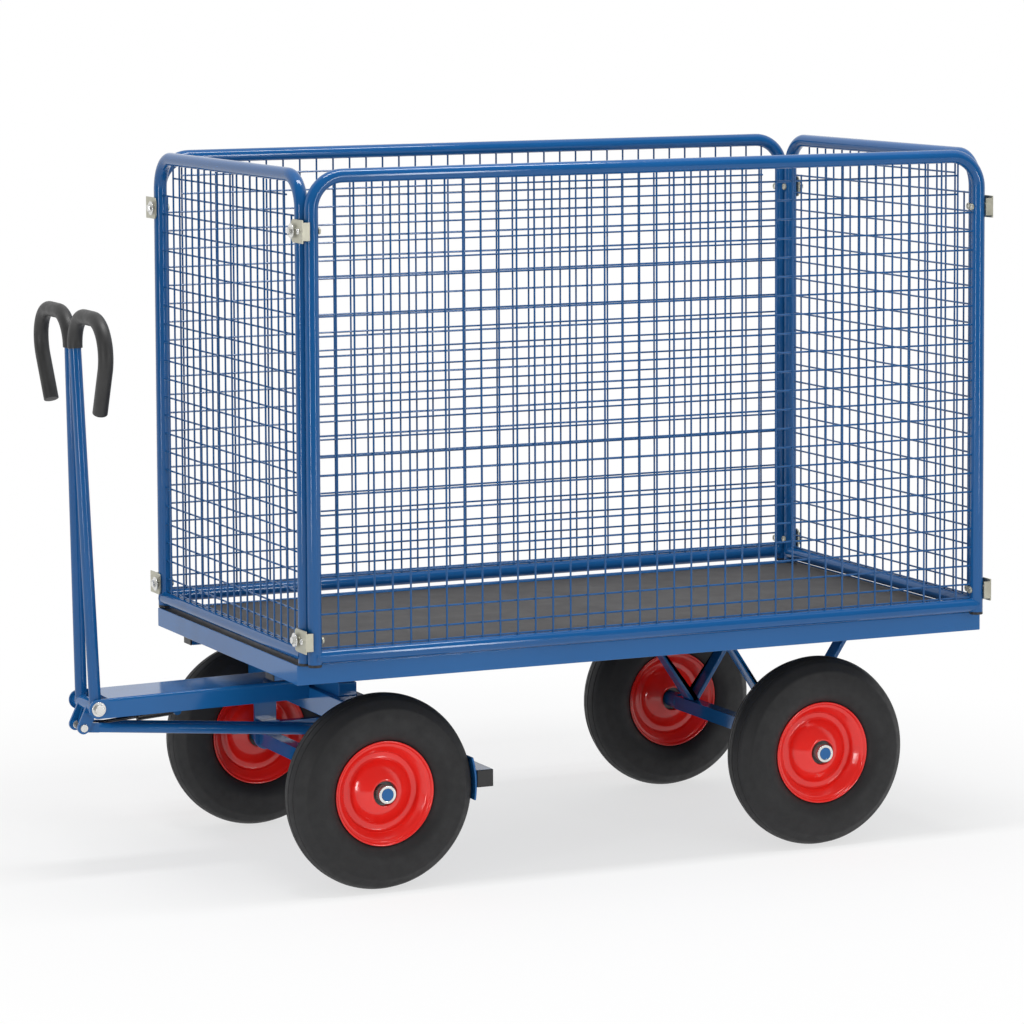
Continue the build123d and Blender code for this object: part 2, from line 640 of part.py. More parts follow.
def build_turntable():
    """Save the turntable: carrier plate, two rings and the king pin."""
    half = CARRIER_LENGTH / 2
    edge = BEAM_Y + BEAM_WIDTH / 2
    pin_hole = KING_PIN_RADIUS + RUNNING
    carrier = block(FRONT_AXLE_X - half, FRONT_AXLE_X + half, -edge, edge, CARRIER_BOTTOM, BEAM_BOTTOM)
    carrier -= bar_z(pin_hole, FRONT_AXLE_X, 0, CARRIER_BOTTOM, BEAM_BOTTOM)
    save("turntable_carrier", carrier)
    for name, z in (("turntable_upper_ring", UPPER_RING_Z), ("turntable_lower_ring", LOWER_RING_Z)):
        ring = bar_z(TURNTABLE_RADIUS, FRONT_AXLE_X, 0, z, z + TURNTABLE_RING)
        save(name, ring - bar_z(TURNTABLE_BORE, FRONT_AXLE_X, 0, z, z + TURNTABLE_RING))

    nut_z = BEAM_BOTTOM + TURNTABLE_GAP
    pin = bar_z(KING_PIN_RADIUS, FRONT_AXLE_X, 0, LOWER_RING_Z, nut_z + KING_PIN_NUT)
    nut = extrude(RegularPolygon(KING_PIN_HEAD, 6, major_radius=False), KING_PIN_NUT)
    save("king_pin", pin + Pos(FRONT_AXLE_X, 0, nut_z) * nut)


def build_carriage():
    """Save the turning front carriage: cross member, posts, axle and drawbar."""
    half = CROSS_WIDTH / 2
    x0 = FRONT_AXLE_X - half
    inner = half - CROSS_WALL
    cross = block(x0, CROSS_FRONT_X, -POST_Y, POST_Y, CROSS_BOTTOM, CROSS_TOP)
    cross -= block(
        FRONT_AXLE_X - inner, FRONT_AXLE_X + inner, -POST_Y, POST_Y, CROSS_BOTTOM, CROSS_TOP - CROSS_WALL,
    )
    riser = block(
        FRONT_AXLE_X - RISER_WIDTH / 2, FRONT_AXLE_X + RISER_WIDTH / 2, -RISER_HALF, RISER_HALF,
        CROSS_TOP, LOWER_RING_Z,
    )
    save("front_cross_member", cross + riser)

    post = block(
        FRONT_AXLE_X - POST_WIDTH / 2, FRONT_AXLE_X + POST_WIDTH / 2, POST_IN_Y, POST_Y,
        AXLE_Z, CROSS_TOP - CROSS_WALL,
    )
    post += bar_y(POST_WIDTH / 2, FRONT_AXLE_X, AXLE_Z, POST_IN_Y, POST_Y)
    post -= bar_y(STUB_RADIUS, FRONT_AXLE_X, AXLE_Z, POST_IN_Y, POST_Y)
    save("left_post", post)
    save("right_post", mirror_y(post))
    collar = shoulder(FRONT_AXLE_X, POST_Y)
    save("front_axle", axle(FRONT_AXLE_X, POST_IN_Y) + collar + mirror_y(collar))
    save("front_axle_rings", *axle_rings(FRONT_AXLE_X))

    arm_z = ARM_BOTTOM + ARM_BAR / 2
    sleeve_half = ARM_BAR / 2 + SLEEVE_CLEAR
    sleeve_out = sleeve_half + SLEEVE_WALL
    sleeve_x = (FRONT_AXLE_X - SLEEVE_LENGTH / 2, FRONT_AXLE_X + SLEEVE_LENGTH / 2)
    sleeve = block(*sleeve_x, ARM_Y - sleeve_out, POST_IN_Y, arm_z - sleeve_out, arm_z + sleeve_out)
    sleeve -= block(
        *sleeve_x, ARM_Y - sleeve_half, ARM_Y + sleeve_half, arm_z - sleeve_half, arm_z + sleeve_half,
    )
    save("brake_guides", sleeve, mirror_y(sleeve))

    edge = DRAWBAR_WIDTH / 2
    half = DRAWBAR_HEIGHT / 2
    back = CROSS_FRONT_X - PIVOT_X - DRAWBAR_HEIGHT
    bar = block(back, -DRAWBAR_CUT, -edge, edge, -half, half)
    bar = fillet(bar.edges().filter_by(Axis.X).group_by(Axis.Z)[-1], DRAWBAR_FOLD)
    hollow = block(back, -DRAWBAR_CUT, -EAR_IN_Y, EAR_IN_Y, -half, half - DRAWBAR_WALL)
    bar -= fillet(hollow.edges().filter_by(Axis.X).group_by(Axis.Z)[-1], DRAWBAR_FOLD - DRAWBAR_WALL)
    ears = block(-DRAWBAR_CUT, 0, -edge, edge, -half, half) + bar_y(half, 0, 0, -edge, edge)
    ears -= block(-DRAWBAR_CUT, half, -EAR_IN_Y, EAR_IN_Y, -half, half)
    bar += ears
    bar -= bar_y(PIVOT_RADIUS, 0, 0, -edge, edge)
    bar = Pos(PIVOT_X, 0, PIVOT_Z) * Rot(0, DRAWBAR_TILT, 0) * bar
    bar -= block(
        CROSS_FRONT_X - 2 * DRAWBAR_HEIGHT, CROSS_FRONT_X, -edge, edge,
        PIVOT_Z - DRAWBAR_HEIGHT, PIVOT_Z + DRAWBAR_HEIGHT,
    )
    save("drawbar", bar)
    washer = edge + WASHER_THICKNESS
    bolt = bar_y(PIVOT_RADIUS, PIVOT_X, PIVOT_Z, -washer - PIVOT_HEAD - BOLT_STICK_OUT, edge)
    bolt += bar_y(WASHER_RADIUS, PIVOT_X, PIVOT_Z, edge, washer)
    bolt += hex_y(PIVOT_HEX, PIVOT_X, PIVOT_Z, washer, washer + PIVOT_HEAD)
    nut = bar_y(WASHER_RADIUS, PIVOT_X, PIVOT_Z, -washer, -edge)
    nut += hex_y(PIVOT_HEX, PIVOT_X, PIVOT_Z, -washer - PIVOT_HEAD, -washer)
    nut -= bar_y(PIVOT_RADIUS, PIVOT_X, PIVOT_Z, -washer - PIVOT_HEAD, -edge)
    save("pivot_bolt_and_nut", bolt, nut)


def rounded_path(points, radii):
    """Return straight runs and tangent arcs through the points, an arc at each inner one."""
    edges = []
    start = Vector(*points[0])
    for index, radius in enumerate(radii, 1):
        corner = Vector(*points[index])
        back = (Vector(*points[index - 1]) - corner).normalized()
        ahead = (Vector(*points[index + 1]) - corner).normalized()
        half_angle = math.acos(max(-1.0, min(1.0, back.dot(ahead)))) / 2
        reach = radius / math.tan(half_angle)
        bisector = (back + ahead).normalized()
        middle = corner + bisector * (radius / math.sin(half_angle) - radius)
        first = corner + back * reach
        last = corner + ahead * reach
        edges.append(Line(start, first))
        edges.append(ThreePointArc(first, middle, last))
        start = last
    edges.append(Line(start, Vector(*points[-1])))
    return edges


def build_tiller():
    """Save the tiller: cross tube with levers, two bent tubes, grips and lever pins."""
    pivot = (PIVOT_X, PIVOT_Z)
    brake_pin = (ROD_FRONT_X, ROD_FRONT_Z)
    tube_end = EAR_IN_Y - CROSS_TUBE_GAP
    ear_y = SPRING_EYE_WIDTH / 2 + EAR_GAP
    cross = bar_y(CROSS_TUBE_RADIUS, PIVOT_X, PIVOT_Z, -tube_end, tube_end)
    for side in (-1, 1):
        lever_y = sorted((side * LEVER_Y, side * (LEVER_Y + LEVER_THICKNESS)))
        cross += link_xz(pivot, brake_pin, LEVER_RADIUS, *lever_y)
        ears = sorted((side * ear_y, side * (ear_y + EAR_THICKNESS)))
        cross += link_xz(pivot, SPRING_FRONT, EAR_RADIUS, *ears)
    cross -= bar_y(PIVOT_RADIUS + RUNNING, PIVOT_X, PIVOT_Z, -tube_end, tube_end)
    lever_end = LEVER_Y + LEVER_THICKNESS
    cross -= bar_y(BRAKE_PIN_RADIUS, *brake_pin, -lever_end, lever_end)
    cross -= bar_y(SPRING_PIN, *SPRING_FRONT, -ear_y - EAR_THICKNESS, ear_y + EAR_THICKNESS)
    save("tiller_cross_tube", cross)

    path_points = [
        (0, TILLER_FOOT_Y, 0), (0, TILLER_NECK_Y, TILLER_HEIGHT), (0, LOOP_OUT_Y, TILLER_HEIGHT),
        (0, LOOP_OUT_Y, TILLER_HEIGHT - HOOK_DROP), (0, HOOK_END_Y, TILLER_HEIGHT - HOOK_END_DROP),
    ]
    runs = rounded_path(path_points, [LOOP_BEND, LOOP_BEND, HOOK_BEND])
    lean = Pos(PIVOT_X, 0, PIVOT_Z) * Rot(0, TILLER_LEAN, 0)
    socket = bar_y(CROSS_TUBE_RADIUS, 0, 0, -tube_end, tube_end)
    bent = tube(Wire(runs), TILLER_RADIUS, TILLER_WALL) - socket
    grip_path = Wire(runs[1:])
    grip = tube(grip_path, GRIP_RADIUS, GRIP_RADIUS - TILLER_RADIUS)
    stop = Plane(origin=grip_path @ 1, z_dir=grip_path % 1) * Circle(GRIP_RADIUS)
    grip += extrude(stop, amount=GRIP_CAP)
    grip -= block(-GRIP_RADIUS, GRIP_RADIUS, -GRIP_RADIUS, GRIP_GAP / 2, 0, TILLER_HEIGHT + GRIP_RADIUS)
    save("left_tiller_tube", lean * bent)
    save("right_tiller_tube", mirror_y(lean * bent))
    save("left_grip", lean * grip)
    save("right_grip", mirror_y(lean * grip))

    inside = ROD_Y - ROD_FLAT / 2 - SIDE_PLAY
    pin = bar_y(BRAKE_PIN_RADIUS, *brake_pin, inside, lever_end)
    pin += bar_y(BRAKE_PIN_HEAD, *brake_pin, lever_end, lever_end + BRAKE_PIN_RADIUS)
    pin += bar_y(BRAKE_PIN_HEAD, *brake_pin, inside - WASHER_THICKNESS, inside)
    spring_pin = bar_y(SPRING_PIN, *SPRING_FRONT, -ear_y - EAR_THICKNESS, ear_y + EAR_THICKNESS)
    save("lever_pins", pin, mirror_y(pin), spring_pin)


def build_brake():
    """Save the brake rods with their rear pins, and the beam, arms, shoes and caps."""
    front = (ROD_FRONT_X, ROD_FRONT_Z)
    rear = (ROD_REAR_X, ROD_REAR_Z)
    length = math.hypot(front[0] - rear[0], front[1] - rear[1])
    way = ((front[0] - rear[0]) / length, (front[1] - rear[1]) / length)
    flat = ROD_FLAT / 2

    def along(distance):
        return (rear[0] + way[0] * distance, rear[1] + way[1] * distance)

    def rod_face(distance, outline):
        x, z = along(distance)
        return Plane((x, ROD_Y, z), x_dir=(-way[1], 0, way[0]), z_dir=(way[0], 0, way[1])) * outline

    round_start = ROD_FLAT_LENGTH + ROD_TAPER
    rod = extrude(rod_face(round_start, Circle(ROD_RADIUS)), amount=length - 2 * round_start)
    for eye, root, neck in (
        (0.0, ROD_FLAT_LENGTH, round_start), (length, length - ROD_FLAT_LENGTH, length - round_start),
    ):
        rod += loft([rod_face(root, Ellipse(ROD_RADIUS, flat)), rod_face(neck, Circle(ROD_RADIUS))])
        rod += link_xz(along(eye), along(root), ROD_EYE, ROD_Y - flat, ROD_Y + flat)
    rod -= bar_y(BRAKE_PIN_RADIUS + RUNNING, *front, ROD_Y - flat, ROD_Y + flat)
    rod -= bar_y(BRAKE_PIN_RADIUS, *rear, ROD_Y - flat, ROD_Y + flat)
    save("brake_rods", rod, mirror_y(rod))

    fork_in = ROD_Y - flat - FORK_GAP
    fork_out = ROD_Y + flat + FORK_GAP
    pin_in = fork_in - FORK_THICKNESS - SIDE_PLAY
    pin_out = fork_out + FORK_THICKNESS + SIDE_PLAY
    pin = bar_y(BRAKE_PIN_RADIUS, *rear, pin_in, pin_out)
    pin += bar_y(BRAKE_PIN_HEAD, *rear, pin_out, pin_out + BRAKE_PIN_RADIUS)
    pin += bar_y(BRAKE_PIN_HEAD, *rear, pin_in - WASHER_THICKNESS, pin_in)
    save("rod_rear_pins", pin, mirror_y(pin))

    bar_x_middle = BEAM_BAR_FRONT - BEAM_BAR / 2
    beam = square_y(BEAM_BAR, BEAM_BAR_WALL, bar_x_middle, BEAM_BAR_Z, -BEAM_BAR_END, BEAM_BAR_END)
    slot_z = ROD_REAR_Z - SLOT_PLAY_Z
    slot_radius = BRAKE_PIN_RADIUS + SLOT_PLAY_X
    slot_rise = SLOT_PLAY_Z + SLOT_CLEAR
    fork_top = ROD_REAR_Z + FORK_RADIUS
    for y in (fork_in - FORK_THICKNESS, fork_out):
        cheek = block(
            ROD_REAR_X - FORK_RADIUS, ROD_REAR_X + FORK_RADIUS / 2, y, y + FORK_THICKNESS,
            BEAM_BAR_TOP, fork_top,
        )
        slot = (ROD_REAR_X, slot_z - slot_rise), (ROD_REAR_X, slot_z + slot_rise)
        cheek -= link_xz(*slot, slot_radius, y, y + FORK_THICKNESS)
        beam += cheek
        beam += mirror_y(cheek)
    save("brake_beam", beam)

    inner = BEAM_BAR / 2 - BEAM_BAR_WALL
    outer = BEAM_BAR / 2
    cap = block(
        BEAM_BAR_BACK, BEAM_BAR_FRONT, BEAM_BAR_END, BEAM_BAR_END + CAP_HEAD,
        BEAM_BAR_Z - outer, BEAM_BAR_Z + outer,
    )
    cap += block(
        bar_x_middle - inner, bar_x_middle + inner, BEAM_BAR_END - CAP_PLUG, BEAM_BAR_END,
        BEAM_BAR_Z - inner, BEAM_BAR_Z + inner,
    )
    arm_z = ARM_BOTTOM + ARM_BAR / 2
    arm = square_x(ARM_BAR, ARM_WALL, ARM_Y, arm_z, BEAM_BAR_FRONT, ARM_FRONT_X)
    save("brake_arms", arm, mirror_y(arm))
    plug = ARM_BAR / 2 - ARM_WALL
    tip = block(
        ARM_FRONT_X, ARM_FRONT_X + CAP_HEAD, ARM_Y - ARM_BAR / 2, ARM_Y + ARM_BAR / 2,
        ARM_BOTTOM, ARM_BOTTOM + ARM_BAR,
    )
    tip += block(ARM_FRONT_X - CAP_PLUG, ARM_FRONT_X, ARM_Y - plug, ARM_Y + plug, arm_z - plug, arm_z + plug)
    save("brake_caps", cap, mirror_y(cap), tip, mirror_y(tip))

    inner = TYRE_RADIUS + SHOE_GAP
    outer = inner + SHOE_THICKNESS
    corners = []
    for radius, angles in ((inner, (SHOE_LOW, 0, SHOE_HIGH)), (outer, (SHOE_HIGH, 0, SHOE_LOW))):
        for angle in angles:
            turn = math.radians(angle)
            corners.append((-radius * math.cos(turn), 0, radius * math.sin(turn)))
    outline = [
        ThreePointArc(*corners[:3]), Line(corners[2], corners[3]),
        ThreePointArc(*corners[3:]), Line(corners[5], corners[0]),
    ]
    shoe = extrude(make_face(outline), amount=SHOE_WIDTH, dir=(0, 1, 0))
    shoe = Pos(FRONT_AXLE_X, WHEEL_Y - SHOE_WIDTH / 2, AXLE_Z) * shoe
    save("brake_shoes", shoe, mirror_y(shoe))


def build_gas_spring():
    """Save the gas spring's bracket, cylinder and rod."""
    half = SPRING_EYE_WIDTH / 2
    ear_y = half + EAR_GAP
    web = DRAWBAR_HEIGHT / 2 - DRAWBAR_WALL
    bracket = bar_y(SPRING_PIN, -SPRING_BACK, -SPRING_DROP, -ear_y, ear_y)
    for side in (-1, 1):
        sides = sorted((side * ear_y, side * (ear_y + EAR_THICKNESS)))
        bracket += bar_y(EAR_RADIUS, -SPRING_BACK, -SPRING_DROP, *sides)
        bracket += block(-SPRING_BACK - EAR_RADIUS, -SPRING_BACK + EAR_RADIUS, *sides, -SPRING_DROP, web)
    save("spring_bracket", Pos(PIVOT_X, 0, PIVOT_Z) * Rot(0, DRAWBAR_TILT, 0) * bracket)

    rear_x, rear_z = SPRING_REAR
    dx = SPRING_FRONT[0] - rear_x
    dz = SPRING_FRONT[1] - rear_z
    reach = math.hypot(dx, dz)
    place = Pos(rear_x, 0, rear_z) * Rot(0, -math.degrees(math.atan2(dz, dx)), 0)
    body = bar_x(SPRING_BODY, 0, 0, SPRING_BODY_START, SPRING_BODY_END)
    body += block(0, SPRING_BODY_START, -half, half, -SPRING_BODY / 2, SPRING_BODY / 2)
    body += bar_y(SPRING_EYE, 0, 0, -half, half)
    body -= bar_y(SPRING_PIN + RUNNING, 0, 0, -half, half)
    body -= bar_x(SPRING_ROD + RUNNING, 0, 0, SPRING_BORE_END, SPRING_BODY_END)
    save("gas_spring_cylinder", place * body)

    hole_radius = SPRING_PIN + SPRING_EYE_PLAY_X + SPRING_EYE_CLEAR
    rise = SPRING_EYE_PLAY_Z
    hole = (reach - SPRING_EYE_PLAY_X, -2 * rise), (reach - SPRING_EYE_PLAY_X, 0)
    rod = bar_x(SPRING_ROD, 0, 0, SPRING_BODY_END - SPRING_ROD_IN, reach - hole_radius)
    rod += link_xz(*hole, hole_radius + SPRING_EYE_WALL, -half, half)
    rod -= link_xz(*hole, hole_radius, -half, half)
    save("gas_spring_rod", place * rod)


build_platform()
build_walls()
build_wheels()
build_rear_axle()
build_turntable()
build_carriage()
build_tiller()
build_brake()
build_gas_spring()
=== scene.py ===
"""Mesh-sided platform trolley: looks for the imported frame, in metres."""
import json
import math

import bmesh
import bpy
from mathutils import Matrix, Vector


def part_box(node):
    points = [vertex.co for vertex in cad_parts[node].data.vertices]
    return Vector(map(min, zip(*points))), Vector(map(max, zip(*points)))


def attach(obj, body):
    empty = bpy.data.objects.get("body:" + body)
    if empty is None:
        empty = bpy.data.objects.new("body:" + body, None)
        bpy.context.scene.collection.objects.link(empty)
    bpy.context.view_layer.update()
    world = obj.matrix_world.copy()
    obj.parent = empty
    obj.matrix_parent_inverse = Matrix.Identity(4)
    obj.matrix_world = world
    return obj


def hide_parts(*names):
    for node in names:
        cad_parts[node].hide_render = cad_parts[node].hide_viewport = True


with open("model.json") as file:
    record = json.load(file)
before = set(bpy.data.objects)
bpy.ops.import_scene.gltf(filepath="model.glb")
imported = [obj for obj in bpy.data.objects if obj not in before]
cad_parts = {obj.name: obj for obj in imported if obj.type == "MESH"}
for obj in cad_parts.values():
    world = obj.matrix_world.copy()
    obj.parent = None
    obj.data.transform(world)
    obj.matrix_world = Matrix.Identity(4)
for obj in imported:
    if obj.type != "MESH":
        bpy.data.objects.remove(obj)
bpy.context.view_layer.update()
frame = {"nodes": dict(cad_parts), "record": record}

# Places taken from the frame
deck_low, deck_high = (Vector(corner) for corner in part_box("deck_board"))
MIDDLE_X = (deck_low.x + deck_high.x) / 2
AXLES = {"front": MIDDLE_X + 0.585, "rear": MIDDLE_X - 0.415}
WHEEL_SIDES = {"left": 0.342, "right": -0.342}
AXLE_Z = 0.200

# Wall tubes and wires
TUBE_RADIUS = 0.014
TUBE_BEND = 0.066
TOP_TUBE_Z = 1.448
RAIL_Z = 0.498
FOOT_Z = 0.4835
SIDE_WALL_Y = 0.427
SIDE_LEG_X = 0.756
END_WALL_X = 0.7655
END_LEG_Y = 0.400
WIRE_RADIUS = 0.0020
WIRE_LAYER = 0.0018
MESH_TOP_Z = 1.4075
MESH_PITCH_Z = 0.03934
MESH_ROWS = 23
EDGE_ROW_Z = 0.5143
WIRE_SINK = 0.010
TUBE_SIDES = 32
WIRE_SIDES = 10
WALL_BEAD = 0.0017
SIDE_MESH = {"columns": 37, "pitch": 0.0392, "short_rows": 2, "cut_uprights": 0}
END_MESH = {"columns": 20, "pitch": 0.0371, "short_rows": 1, "cut_uprights": 1}

# Tiller
PIVOT = Vector((MIDDLE_X + 1.082, 0.0, 0.358))
TILLER_LEAN = math.radians(1.8)
TILLER_RADIUS = 0.0125
GRIP_RADIUS = 0.0155
CROSS_TUBE_RADIUS = 0.014
TILLER_PATH = [(0.044, 0.0), (0.0115, 0.802), (0.200, 0.802), (0.200, 0.717), (0.152, 0.616)]
TILLER_BENDS = [0.066, 0.066, 0.080]
TILLER_FOOT = 0.011
TILLER_BEAD = 0.0022
GRIP_CAP = 0.003
GRIP_EDGE = 0.0013
GRIP_GAP = 0.00025

# Corner brackets' bolts
BOLT_LEVELS = (0.530, 1.341)
PLATE_X = 0.7825
HEX_RADIUS = 0.0075
HEX_HEIGHT = 0.0053
HEX_MIDDLE = 0.00965

# Rounding of edges
FLAT_ANGLE = math.radians(1)
SHARP_ANGLE = math.radians(40)
EDGE_STEPS = 2
FINE_ROUNDING = 0.002

# Range of a noise pattern's factor that a finish uses
NOISE_LOW = 0.3
NOISE_HIGH = 0.7


def link(piece):
    """Put a new object in the scene."""
    bpy.context.scene.collection.objects.link(piece)
    return piece


# Materials
def shader(name):
    """Return a new material with its node tree, its surface shader and its object coordinates."""
    material = bpy.data.materials.new(name)
    material.use_nodes = True
    tree = material.node_tree
    surface = tree.nodes["Principled BSDF"]
    place = tree.nodes.new("ShaderNodeTexCoord").outputs["Object"]
    return material, tree, surface, place


def noise(tree, place, scale, detail=3.0, roughness=0.55):
    """Return the factor of a noise pattern, scale in repeats per metre."""
    node = tree.nodes.new("ShaderNodeTexNoise")
    node.inputs["Scale"].default_value = scale
    node.inputs["Detail"].default_value = detail
    node.inputs["Roughness"].default_value = roughness
    tree.links.new(place, node.inputs["Vector"])
    return node.outputs["Fac"]


def ramp(tree, factor, stops):
    """Return a colour ramp over a factor, with (position, colour) stops."""
    node = tree.nodes.new("ShaderNodeValToRGB")
    first, last = node.color_ramp.elements
    first.position, first.color = stops[0][0], (*stops[0][1], 1)
    last.position, last.color = stops[-1][0], (*stops[-1][1], 1)
    for position, colour in stops[1:-1]:
        node.color_ramp.elements.new(position).color = (*colour, 1)
    tree.links.new(factor, node.inputs["Fac"])
    return node.outputs["Color"]


def spread(tree, factor, low, high):
    """Return a factor mapped to a range of values."""
    node = tree.nodes.new("ShaderNodeMapRange")
    node.inputs["To Min"].default_value = low
    node.inputs["To Max"].default_value = high
    node.inputs["From Min"].default_value = NOISE_LOW
    node.inputs["From Max"].default_value = NOISE_HIGH
    tree.links.new(factor, node.inputs["Value"])
    return node.outputs["Result"]


def dent(tree, surface, heights, strength, distance):
    """Give the surface a fine relief from a list of height factors."""
    normal = None
    for height in heights:
        node = tree.nodes.new("ShaderNodeBump")
        node.inputs["Strength"].default_value = strength
        node.inputs["Distance"].default_value = distance
        tree.links.new(height, node.inputs["Height"])
        if normal is not None:
            tree.links.new(normal, node.inputs["Normal"])
        normal = node.outputs["Normal"]
    tree.links.new(normal, surface.inputs["Normal"])


def powder_coat(name, dark, light, shine):
    """Powder coat: slight shade drift, orange-peel relief and uneven gloss."""
    material, tree, surface, place = shader(name)
    drift = noise(tree, place, 3.0, 4.0)
    colours = [(NOISE_LOW, dark), (NOISE_HIGH, light)]
    tree.links.new(ramp(tree, drift, colours), surface.inputs["Base Color"])
    gloss = spread(tree, noise(tree, place, 14.0), shine - 0.03, shine + 0.04)
    tree.links.new(gloss, surface.inputs["Roughness"])
    dent(tree, surface, [noise(tree, place, 420.0, 1.0)], 0.03, 0.0004)
    surface.inputs["Specular IOR Level"].default_value = 0.40
    return material


def gloss_paint():
    """Red gloss on pressed steel, with a thin clear top layer."""
    material, tree, surface, place = shader("red_gloss_paint")
    drift = noise(tree, place, 9.0, 3.0)
    colours = [(NOISE_LOW, (0.74, 0.014, 0.010)), (NOISE_HIGH, (0.82, 0.019, 0.013))]
    tree.links.new(ramp(tree, drift, colours), surface.inputs["Base Color"])
    tree.links.new(spread(tree, noise(tree, place, 40.0), 0.13, 0.19), surface.inputs["Roughness"])
    dent(tree, surface, [noise(tree, place, 180.0, 1.0)], 0.03, 0.0006)
    surface.inputs["Coat Weight"].default_value = 0.25
    surface.inputs["Coat Roughness"].default_value = 0.05
    return material


def tyre_rubber():
    """Moulded tyre rubber, slightly dusty, with a fine skin."""
    material, tree, surface, place = shader("tyre_rubber")
    drift = noise(tree, place, 16.0, 5.0, 0.65)
    colours = [(0.25, (0.011, 0.011, 0.012)), (0.75, (0.016, 0.016, 0.017))]
    tree.links.new(ramp(tree, drift, colours), surface.inputs["Base Color"])
    tree.links.new(spread(tree, noise(tree, place, 60.0, 4.0), 0.50, 0.66), surface.inputs["Roughness"])
    dent(tree, surface, [noise(tree, place, 900.0, 2.0), noise(tree, place, 120.0, 3.0)], 0.12, 0.0008)
    surface.inputs["Specular IOR Level"].default_value = 0.40
    return material


def zinc_plate(name, dark, light, rough, metal):
    """Zinc plate: metal, more or less clouded by its chromate film, with a lightly spangled surface."""
    material, tree, surface, place = shader(name)
    cells = tree.nodes.new("ShaderNodeTexVoronoi")
    cells.inputs["Scale"].default_value = 140.0
    tree.links.new(place, cells.inputs["Vector"])
    cloud = noise(tree, place, 45.0, 4.0)
    colours = [(NOISE_LOW, dark), (NOISE_HIGH, light)]
    tree.links.new(ramp(tree, cloud, colours), surface.inputs["Base Color"])
    surface.inputs["Metallic"].default_value = metal
    tree.links.new(spread(tree, cloud, rough - 0.07, rough + 0.08), surface.inputs["Roughness"])
    dent(tree, surface, [cells.outputs["Distance"], noise(tree, place, 700.0, 2.0)], 0.05, 0.0006)
    return material


def moulded_plastic(name, dark, light, rough, grain):
    """Moulded black plastic or soft grip with a fine grain."""
    material, tree, surface, place = shader(name)
    drift = noise(tree, place, 25.0)
    colours = [(NOISE_LOW, dark), (NOISE_HIGH, light)]
    tree.links.new(ramp(tree, drift, colours), surface.inputs["Base Color"])
    gloss = spread(tree, noise(tree, place, 80.0), rough - 0.05, rough + 0.07)
    tree.links.new(gloss, surface.inputs["Roughness"])
    dent(tree, surface, [noise(tree, place, grain, 2.0)], 0.16, 0.0005)
    return material


def deck_film():
    """Film-faced ply with a pressed anti-slip grid, scuffed in places."""
    material, tree, surface, place = shader("deck_film")
    scuff = noise(tree, place, 5.0, 6.0, 0.7)
    colours = [
        (0.25, (0.060, 0.058, 0.058)), (0.6, (0.070, 0.068, 0.068)), (0.85, (0.084, 0.081, 0.081)),
    ]
    tree.links.new(ramp(tree, scuff, colours), surface.inputs["Base Color"])
    tree.links.new(spread(tree, noise(tree, place, 18.0, 4.0), 0.62, 0.76), surface.inputs["Roughness"])
    surface.inputs["Specular IOR Level"].default_value = 0.30
    grids = []
    for turn in (45, -45):
        mapping = tree.nodes.new("ShaderNodeMapping")
        mapping.inputs["Rotation"].default_value = (0, 0, math.radians(turn))
        tree.links.new(place, mapping.inputs["Vector"])
        wave = tree.nodes.new("ShaderNodeTexWave")
        wave.inputs["Scale"].default_value = 55.0
        tree.links.new(mapping.outputs["Vector"], wave.inputs["Vector"])
        grids.append(wave.outputs["Fac"])
    dent(tree, surface, grids + [noise(tree, place, 300.0)], 0.25, 0.0008)
    return material


BLUE = powder_coat("blue_powder_coat", (0.0085, 0.103, 0.305), (0.0105, 0.115, 0.335), 0.11)
# The wall and tiller tubes have the same blue powder coat as the frame. This copy's base colour is painted
# darker to stand in for the shade on the tubes.
SHADED_TUBE_BLUE = powder_coat("blue_coat_painted_tube_shade", (0.0060, 0.080, 0.245), (0.0075, 0.090, 0.275), 0.09)
WIRE_BLUE = powder_coat("blue_wire_coat", (0.009, 0.074, 0.215), (0.012, 0.086, 0.250), 0.20)
RED = gloss_paint()
RUBBER = tyre_rubber()
ZINC = zinc_plate("zinc_plate", (0.40, 0.39, 0.31), (0.51, 0.50, 0.41), 0.38, 0.55)
BRIGHT_ZINC = zinc_plate("bright_zinc", (0.64, 0.64, 0.62), (0.78, 0.78, 0.76), 0.22, 0.80)
# Turntable and bearing steel: base colour painted near black, as painted shade for the dark hub bores.
SHADE_DARKENED_STEEL = zinc_plate("steel_painted_dark_for_shade", (0.06, 0.06, 0.06), (0.12, 0.12, 0.12), 0.42, 1.0)
# Gas spring rod: near-black base colour as a painted reflection of the dark surroundings that the rod
# mirrors.
DARK_REFLECTION_ROD_STEEL = zinc_plate("rod_steel_painted_dark_reflection", (0.05, 0.05, 0.055), (0.08, 0.08, 0.085), 0.22, 1.0)
BLACK = moulded_plastic("black_plastic", (0.010, 0.010, 0.011), (0.016, 0.016, 0.017), 0.46, 900.0)
GRIP = moulded_plastic("soft_black_grip", (0.018, 0.018, 0.018), (0.025, 0.025, 0.025), 0.48, 600.0)
ENAMEL = moulded_plastic("black_enamel", (0.008, 0.008, 0.009), (0.013, 0.013, 0.014), 0.28, 300.0)
FILM = deck_film()

SLOT_FINISH = {
    "blue_paint": BLUE, "deck_ply": FILM, "black_plastic": BLACK, "zinc": ZINC,
    "turntable_steel": SHADE_DARKENED_STEEL, "tyre_rubber": RUBBER, "red_rim": RED, "bearing_steel": SHADE_DARKENED_STEEL,
    "grip_rubber": GRIP, "spring_black": ENAMEL, "spring_rod_steel": DARK_REFLECTION_ROD_STEEL,
}
NODE_FINISH = {
    "front_axle_rings": BRIGHT_ZINC, "rear_axle_rings": BRIGHT_ZINC, "pivot_bolt_and_nut": BRIGHT_ZINC,
    "lever_pins": BRIGHT_ZINC,
}
NODE_SLOT = {part["node"]: part["material_slot"] for part in frame["record"]["subparts"]}
NODE_BODY = {node: body for body, nodes in frame["record"]["behaviour"]["bodies"].items() for node in nodes}


